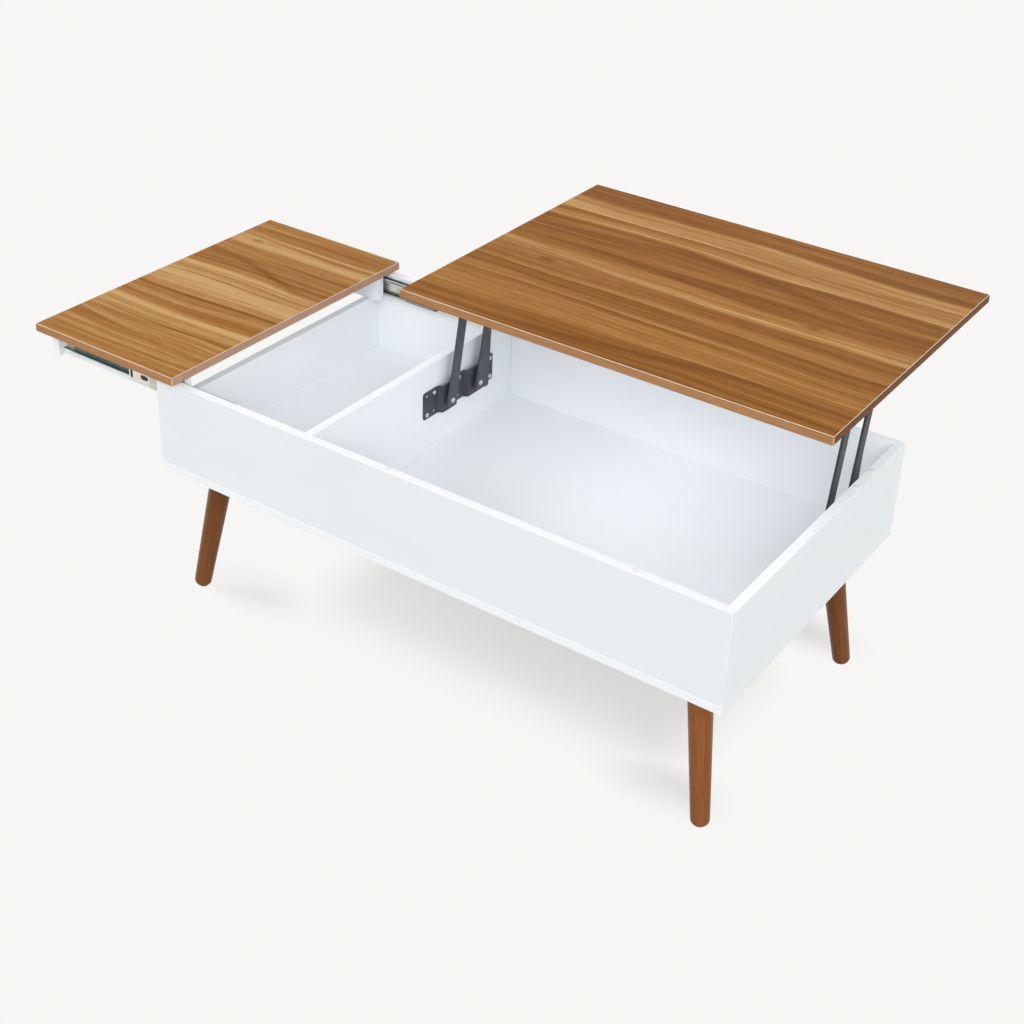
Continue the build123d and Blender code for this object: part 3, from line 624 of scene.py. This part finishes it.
def walnut(name, low, high, bands, knots, strays, seed):
    """A walnut print between two corners. Its bands are places and tones across the grain. Each knot is
    its place along and across, its size and its push. Each stray line is where it starts along, where
    it runs across from and to, its width and its depth."""
    material, place = open_finish(name)
    x = place.part("X")
    y = place.part("Y")
    drift = noise(place, print_per_metre["drift"], 2.0, seed) - 0.5
    wave = noise(place, print_per_metre["wave"], 2.0, seed) - 0.5
    across = (y - low.y) / (high.y - low.y) + 0.11 * drift + 0.022 * wave
    heart = 0.0
    for along_share, across_share, size, push in knots:
        from_x = (x - (low.x + (high.x - low.x) * along_share)) / size
        from_y = (y - (low.y + (high.y - low.y) * across_share)) / size
        across = across + push * size * hump(from_x, from_y, knot_bulge) * from_y
        heart = hump(from_x, from_y, knot_heart) + heart
    tone = tint(across, [(at, (level, level, level)) for at, level in bands])
    along = (x - low.x) / (high.x - low.x)
    for start, from_across, to_across, width, depth in strays:
        run = along.rise(start, 1.0, "SMOOTHERSTEP")
        off = (across - from_across - (to_across - from_across) * run) / width
        line = hump(off.maths("MAXIMUM") * stray_sharpness, off.maths("MINIMUM"))
        tone = tone - depth * line * along.rise(start + stray_fade[0], start + stray_fade[1])
    grain = place.node("ShaderNodeCombineXYZ", {}, {"X": x, "Y": across * (high.y - low.y)})
    wander = ring_wander * noise(grain, print_per_metre["ring_wander"], 1.0, seed + 5.0)
    rings = (-rings_across * across - wander).maths("FRACT") ** ring_sharpness
    ring_strength = noise(grain, print_per_metre["ring_strength"], 2.0, seed + 9.0)
    streaks = noise(grain, print_per_metre["streaks"], 4.0, seed, 0.78) - 0.5
    dark_places = noise(grain, print_per_metre["dark_threads"], 2.0, seed + 21.0)
    dark_threads = dark_places.rise(*print_tones["dark_threads"])
    pale_places = noise(grain, print_per_metre["pale_threads"], 2.0, seed + 33.0)
    pale_threads = pale_places.rise(*print_tones["pale_threads"])
    fibre = noise(grain, print_per_metre["fibre"], 3.0, seed, 0.65) - 0.5
    pores = noise(grain, print_per_metre["pores"], 1.0, seed).rise(*print_tones["pores"])
    tone = tone + 0.50 * (rings - 0.38) * ring_strength + 1.45 * streaks + 0.70 * fibre
    tone = tone - 0.24 * dark_threads + 0.15 * pale_threads - 0.11 * pores - 0.42 * heart
    gloss = 0.40 + 0.12 * fibre + 0.12 * pores
    relief = 0.6 * fibre - pores
    satin = {"Specular IOR Level": 0.06}
    return close_finish(material, tint(tone, laminate_stops), gloss, relief, print_depth, satin)


lid_bands = [
    (0.00, 0.28), (0.07, 0.32), (0.14, 0.46), (0.20, 0.58), (0.26, 0.42), (0.34, 0.36), (0.41, 0.38),
    (0.44, 0.52), (0.47, 0.68), (0.52, 0.56), (0.55, 0.28), (0.64, 0.32), (0.71, 0.24), (0.73, 0.84),
    (0.77, 0.50), (0.80, 0.66), (0.87, 0.70), (0.89, 0.28), (0.95, 0.20), (1.00, 0.22),
]
lid_knots = [(0.18, 0.963, 0.006, -0.5), (0.775, 0.492, 0.009, -0.9), (0.155, 0.42, 0.012, -0.5)]
lid_strays = [
    (0.36, 0.715, 0.610, 0.030, 0.26),
    (0.18, 0.035, 0.135, 0.026, 0.26),
    (0.02, 0.570, 0.520, 0.012, 0.20),
]
lid_seed = 4.0
sliding_bands = [
    (0.00, 0.62), (0.09, 0.72), (0.12, 0.55), (0.20, 0.68), (0.24, 0.82), (0.29, 0.96), (0.31, 0.58),
    (0.42, 0.52), (0.45, 0.92), (0.50, 0.97), (0.55, 0.82), (0.60, 0.88), (0.63, 0.55), (0.72, 0.51),
    (0.80, 0.57), (0.83, 0.94), (0.87, 0.80), (0.90, 0.72), (0.93, 0.55), (1.00, 0.57),
]
sliding_knots = [(0.16, 0.845, 0.009, -0.9)]
sliding_strays = [(0.10, 0.720, 0.620, 0.022, 0.26), (0.05, 0.190, 0.225, 0.012, 0.22)]
sliding_seed = 17.0
prints = {
    "lid": (lid_bands, lid_knots, lid_strays, lid_seed),
    "sliding_top": (sliding_bands, sliding_knots, sliding_strays, sliding_seed),
}
for top, run_of_print in prints.items():
    board = top + "_board"
    dress(walnut("walnut_" + top, *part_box(board), *run_of_print), board)
    nodes[board].data.materials.append(white_board)
    for face in nodes[board].data.polygons:
        face.material_index = 1 if face.normal.z < backing_slope else 0

# Edge bands: thick strips of walnut coloured plastic glued round the tops. The end strips are
# painted in other colours for the light: darker on the lid as painted shade, paler and pinker on the
# sliding top as painted light thrown up from the white boards. Trimming cuts through the print at the
# upper edge, and the strip's core shows as a fine cream line there, which also serves as a painted
# highlight along the edge. The vertical corner bevels are painted a light tan as a painted highlight,
# and the other bevels take a darker copy of the band's colour.
side_stops = between((0.371, 0.177, 0.074), (0.507, 0.266, 0.119))
# End strip colours: a darker copy on the lid as painted shade, and a paler, pinker copy on the sliding top
# as painted light thrown up from the white boards.
lid_end_shade_stops = between((0.135, 0.048, 0.016), (0.197, 0.074, 0.026))
sliding_end_light_stops = between((0.390, 0.232, 0.156), (0.520, 0.318, 0.220))
# A light tan on the vertical corner bevels, as a painted highlight.
corner_highlight_stops = between((0.55, 0.36, 0.21), (0.68, 0.48, 0.30))
cream_stops = between((0.80, 0.69, 0.55), (0.90, 0.80, 0.67))
cream_width = 0.00055
cream_blur = 0.0001
trimmed_strength = 0.72
band_fibre_per_metre = (30, 30, 900)
band_streaks_per_metre = (9, 9, 300)
core_per_metre = (300, 300, 300)
band_depth = 0.00003
flat_face = 0.9
trimmed_slope = 0.3
band_finishes = ("side", "side_trimmed", "end", "end_trimmed", "corner")
for name, end_stops in (("lid_edge_band", lid_end_shade_stops), ("sliding_top_edge_band", sliding_end_light_stops)):
    cream_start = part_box(name)[1].z - cream_width
    cut_colours = {"side": side_stops, "end": end_stops, "corner": corner_highlight_stops}
    band_mesh = nodes[name].data
    band_mesh.materials.clear()
    for finish in band_finishes:
        stops = cut_colours[finish.split("_")[0]]
        band, place = open_finish(f"{name}_{finish}")
        fibre = noise(place, band_fibre_per_metre, 3.0)
        streak = noise(place, band_streaks_per_metre, 3.0)
        tone = 0.5 * fibre + 0.5 * streak
        if finish.endswith("trimmed"):
            stops = [(at, [trimmed_strength * part for part in colour]) for at, colour in stops]
            # The cream line along the top edge is the strip's core and also a painted highlight.
            core_and_highlight = tint(noise(place, core_per_metre, 3.0), cream_stops)
            trimmed = place.part("Z").rise(cream_start - cream_blur, cream_start)
            band_colour = trimmed.turning(tint(tone, stops), core_and_highlight)
        else:
            band_colour = tint(tone, stops)
        gloss = 0.40 + 0.15 * fibre
        close_finish(band, band_colour, gloss, fibre, band_depth, {"Specular IOR Level": 0.06})
        band_mesh.materials.append(band)
    for face in band_mesh.polygons:
        along, across, upright = (abs(part) for part in face.normal)
        cut = "end" if along > across else "side"
        if max(along, across, upright) < flat_face:
            cut = cut + "_trimmed" if upright > trimmed_slope else "corner"
        face.material_index = band_finishes.index(cut)

# Stage: a pale paper floor that fades into an even backdrop, under a studio sky. The paper takes the
# table's soft shadow in a patch under the box and one at each foot.
backdrop = (0.930, 0.922, 0.905, 1.0)
paper_stops = between((0.860, 0.852, 0.836), (0.866, 0.858, 0.842))
grey_paper_stops = between((0.450, 0.446, 0.438), (0.456, 0.452, 0.444))
specks_per_metre = (300, 300, 300)
paper_share = 0.64
shadow_middle = Vector((0.045, 0.0, 0.0))
shadow_half_sizes = Vector((0.285, 0.10, 1.0))
shadow_fade = 0.15
foot_shade_sizes = Vector((0.15, 0.08, 1.0))
foot_shade_reach = 0.10
foot_shade_back = 0.045
floor_size = 60.0
sky_light = 0.42


def shown_directly(start):
    """1 for rays from the camera, or from a mirror or glass that the camera looks at."""
    kinds = ("Is Camera Ray", "Is Glossy Ray", "Is Transmission Ray")
    camera, mirror, glass = (start.node("ShaderNodeLightPath", {}, {}, kind) for kind in kinds)
    return camera.maths("MAXIMUM", mirror).maths("MAXIMUM", glass)


bpy.ops.mesh.primitive_plane_add(size=floor_size)
floor = bpy.context.object
floor.name = "studio_floor"
floor_paper, place = open_finish("studio_paper")
speck = noise(place, specks_per_metre, 2.0)
paper = place.node("ShaderNodeBsdfDiffuse", {}, {"Color": tint(speck, paper_stops)})
grey_paper = place.node("ShaderNodeBsdfDiffuse", {}, {"Color": tint(speck, grey_paper_stops)})
facing = {"Fac": shown_directly(place), 1: grey_paper, 2: paper}
matt = place.node("ShaderNodeMixShader", {}, facing)
glow = place.node("ShaderNodeEmission", {}, {"Color": backdrop, "Strength": 1.0})
from_middle = place.vector_maths("SUBTRACT", shadow_middle).vector_maths("ABSOLUTE")
beyond = from_middle.vector_maths("SUBTRACT", shadow_half_sizes).vector_maths("MAXIMUM")
shaded = beyond.vector_maths("LENGTH", output="Value").rise(shadow_fade, 0.0, "SMOOTHSTEP")
for foot in foot_places:
    inward = -foot_shade_reach if foot.x > 0 else foot_shade_reach
    from_foot = place.vector_maths("SUBTRACT", foot + Vector((inward, foot_shade_back, 0.0)))
    far = from_foot.vector_maths("DIVIDE", foot_shade_sizes).vector_maths("LENGTH", output="Value")
    shaded = shaded.maths("MAXIMUM", far.rise(1.0, 0.0, "SMOOTHSTEP"))
lifting = {"Fac": shown_directly(place) * (1 - paper_share * shaded), 1: matt, 2: glow}
lifted = place.node("ShaderNodeMixShader", {}, lifting)
place.node("ShaderNodeOutputMaterial", {}, {"Surface": lifted})
floor.data.materials.append(floor_paper)
world = bpy.data.worlds.new("studio_sky")
bpy.context.scene.world = world
world.use_nodes = True
world.node_tree.nodes.clear()
start = Shade(world.node_tree)
lit = start.node("ShaderNodeBackground", {}, {"Color": (1.0, 1.0, 1.0, 1.0), "Strength": sky_light})
shown = start.node("ShaderNodeBackground", {}, {"Color": backdrop, "Strength": 1.0})
mixed = start.node("ShaderNodeMixShader", {}, {"Fac": shown_directly(start), 1: lit, 2: shown})
start.node("ShaderNodeOutputWorld", {}, {"Surface": mixed})

# Softboxes: low wide lights on all sides of the box, each with its strength, its height and its turn
# from the front in degrees. The last fills the storage bays alone, and only the box's own walls shade
# it. The unmirrored ones leave no gloss.
softbox_spread = radians(40)
softboxes = {
    "low_left": (1.72, 18, -85),
    "left": (0.41, 34, -85),
    "front": (0.38, 34, 0),
    "right_front": (1.36, 34, 40),
    "low_right": (0.68, 18, 85),
    "back": (0.28, 32, 180),
    "bay_fill": (0.33, 45, -15),
}
unmirrored = ("low_left", "low_right", "bay_fill")
bay_boards = ("bottom_panel", "back_panel", "right_end_panel", "front_rail", "sliding_top_fascia")
bay_walls = ("front_panel", "back_panel", "left_end_panel", "right_end_panel", "divider_panel")
lamps = {}
for name, (strength, height, turn) in softboxes.items():
    light = bpy.data.lights.new(name + "_softbox", "SUN")
    light.energy = strength
    light.angle = softbox_spread
    lamps[name] = bpy.data.objects.new(name + "_softbox", light)
    lamps[name].rotation_euler = (radians(90 - height), 0, radians(turn))
    lamps[name].visible_glossy = name not in unmirrored
    bpy.context.scene.collection.objects.link(lamps[name])
linking = lamps["bay_fill"].light_linking
linking.receiver_collection = bpy.data.collections.new("bay_boards")
linking.blocker_collection = bpy.data.collections.new("bay_walls")
for board in bay_boards:
    linking.receiver_collection.objects.link(nodes[board])
for board in bay_walls:
    linking.blocker_collection.objects.link(nodes[board])

# Camera: at the photograph's place, above the right front corner and looking along the table.
image_side = 1024.0
sensor_side = 36.0
focal_pixels = 1663.2
centre_row = 412.0
camera_place = Vector((1.2934, -1.9736, 1.7388))
camera_turn = radians(-33.711)
camera_dip = radians(29.211)
camera_roll = radians(2.302)
clip_end = 200.0
forward = Vector((sin(camera_turn) * cos(camera_dip), cos(camera_turn) * cos(camera_dip), -sin(camera_dip)))
level_right = Vector((cos(camera_turn), -sin(camera_turn), 0))
right = cos(camera_roll) * level_right + sin(camera_roll) * level_right.cross(forward)
up = right.cross(forward)
camera = bpy.data.cameras.new("camera")
camera.sensor_width = sensor_side
camera.lens = focal_pixels / image_side * sensor_side
camera.shift_y = (centre_row - image_side / 2) / image_side
camera.clip_end = clip_end
camera_object = bpy.data.objects.new("camera", camera)
camera_axes = Matrix((right, up, -forward)).transposed().to_4x4()
camera_object.matrix_world = Matrix.Translation(camera_place) @ camera_axes
bpy.context.scene.collection.objects.link(camera_object)
bpy.context.scene.camera = camera_object
bpy.context.scene.view_settings.view_transform = "Standard"
